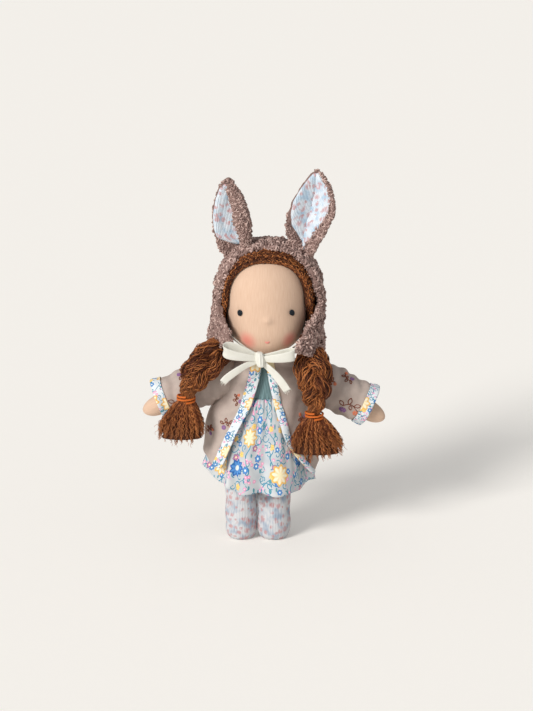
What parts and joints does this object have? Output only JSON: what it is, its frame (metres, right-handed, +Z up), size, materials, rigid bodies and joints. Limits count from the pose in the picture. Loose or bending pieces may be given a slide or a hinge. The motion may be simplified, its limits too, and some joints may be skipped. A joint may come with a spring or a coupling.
{
  "type": "cloth doll",
  "caption": "Small stuffed cloth doll in a rabbit bonnet, gathered skirt and open jacket, with folding ears, arms, legs and swinging braids.",
  "frame": {"origin": "on the floor under the middle of the doll's box", "axes": "+Z up, from the soles to the ears; -Y the way the face looks; +X to the right of someone who faces the doll, so left and right are the viewer's"},
  "size_m": [0.1382, 0.0634, 0.2203],
  "materials": {
    "skin_jersey": "finely ribbed cotton jersey, matt",
    "wool_stuffing": "raw wool, matt",
    "neck_thread": "waxed cotton thread",
    "eye_thread": "embroidery cotton, slight sheen",
    "mouth_thread": "embroidery cotton",
    "mohair": "curly brushed mohair, soft sheen",
    "hair_band": "elastic thread",
    "boucle": "looped pile, matt",
    "floral_knit": "heathered rib knit with small flowers, matt",
    "cotton_tape": "plain woven tape, matt",
    "bodice_jersey": "cotton jersey, matt",
    "floral_cotton": "fine printed cotton, matt",
    "jacket_cotton": "fine corded cotton with stitched sprigs, matt"
  },
  "bodies": {
    "body": {"head_skin": "skin_jersey", "head_core": "wool_stuffing", "neck_thread": "neck_thread", "eye_left": "eye_thread", "eye_right": "eye_thread", "nose": "skin_jersey", "mouth": "mouth_thread", "wig": "mohair", "bonnet": "boucle", "bonnet_tape_left": "cotton_tape", "bonnet_tape_right": "cotton_tape", "bow_knot": "cotton_tape", "bow_loop_left": "cotton_tape", "bow_loop_right": "cotton_tape", "bow_tail_left": "cotton_tape", "bow_tail_right": "cotton_tape", "trunk": "skin_jersey", "dress_bodice": "bodice_jersey", "dress_skirt": "floral_cotton", "jacket_body": "jacket_cotton", "front_band_left": "floral_cotton", "front_band_right": "floral_cotton"},
    "arm_left": {"arm_left": "skin_jersey", "sleeve_left": "jacket_cotton", "cuff_left": "floral_cotton"},
    "arm_right": {"arm_right": "skin_jersey", "sleeve_right": "jacket_cotton", "cuff_right": "floral_cotton"},
    "leg_left": {"leg_left": "floral_knit"},
    "leg_right": {"leg_right": "floral_knit"},
    "ear_left": {"ear_left": "boucle", "ear_lining_left": "floral_knit"},
    "ear_right": {"ear_right": "boucle", "ear_lining_right": "floral_knit"},
    "braid_left": {"braid_left": "mohair", "hair_band_left": "hair_band", "tassel_left": "mohair"},
    "braid_right": {"braid_right": "mohair", "hair_band_right": "hair_band", "tassel_right": "mohair"}
  },
  "joints": [
    {"name": "shoulder_left", "type": "hinge", "parent": "body", "child": "arm_left", "pos_m": [-0.02212, -0.00131, 0.098], "axis": [0, 1, 0], "range_deg": [-14, 55], "stiffness_Nm_per_rad": 0.08},
    {"name": "shoulder_right", "type": "hinge", "parent": "body", "child": "arm_right", "pos_m": [0.02288, -0.00131, 0.098], "axis": [0, -1, 0], "range_deg": [-14, 55], "stiffness_Nm_per_rad": 0.08},
    {"name": "hip_left", "type": "hinge", "parent": "body", "child": "leg_left", "pos_m": [-0.01377, -0.00131, 0.062], "axis": [-1, 0, 0], "range_deg": [0, 90], "stiffness_Nm_per_rad": 0.15, "springref_deg": -8.59, "deforming": ["dress_skirt", "jacket_body", "front_band_left", "front_band_right"]},
    {"name": "hip_right", "type": "hinge", "parent": "body", "child": "leg_right", "pos_m": [0.00513, -0.00131, 0.062], "axis": [-1, 0, 0], "range_deg": [0, 90], "deforming": ["dress_skirt", "jacket_body", "front_band_left", "front_band_right"]},
    {"name": "ear_fold_left", "type": "hinge", "parent": "body", "child": "ear_left", "pos_m": [-0.01752, -0.00131, 0.17887], "axis": [1, 0, 0], "range_deg": [-35, 35], "stiffness_Nm_per_rad": 0.01},
    {"name": "ear_fold_right", "type": "hinge", "parent": "body", "child": "ear_right", "pos_m": [0.02228, -0.00131, 0.17608], "axis": [1, 0, 0], "range_deg": [-35, 35], "stiffness_Nm_per_rad": 0.01},
    {"name": "braid_swing_left", "type": "hinge", "parent": "body", "child": "braid_left", "pos_m": [-0.02492, -0.01909, 0.11525], "axis": [-0.4226, 0.9063, 0], "range_deg": [0, 70]},
    {"name": "braid_swing_right", "type": "hinge", "parent": "body", "child": "braid_right", "pos_m": [0.02668, -0.01909, 0.10685], "axis": [-0.766, -0.6428, 0], "range_deg": [0, 70]}
  ],
  "couplings": [
    {"joint": "hip_right", "follows": "hip_left", "ratio": 1}
  ]
}
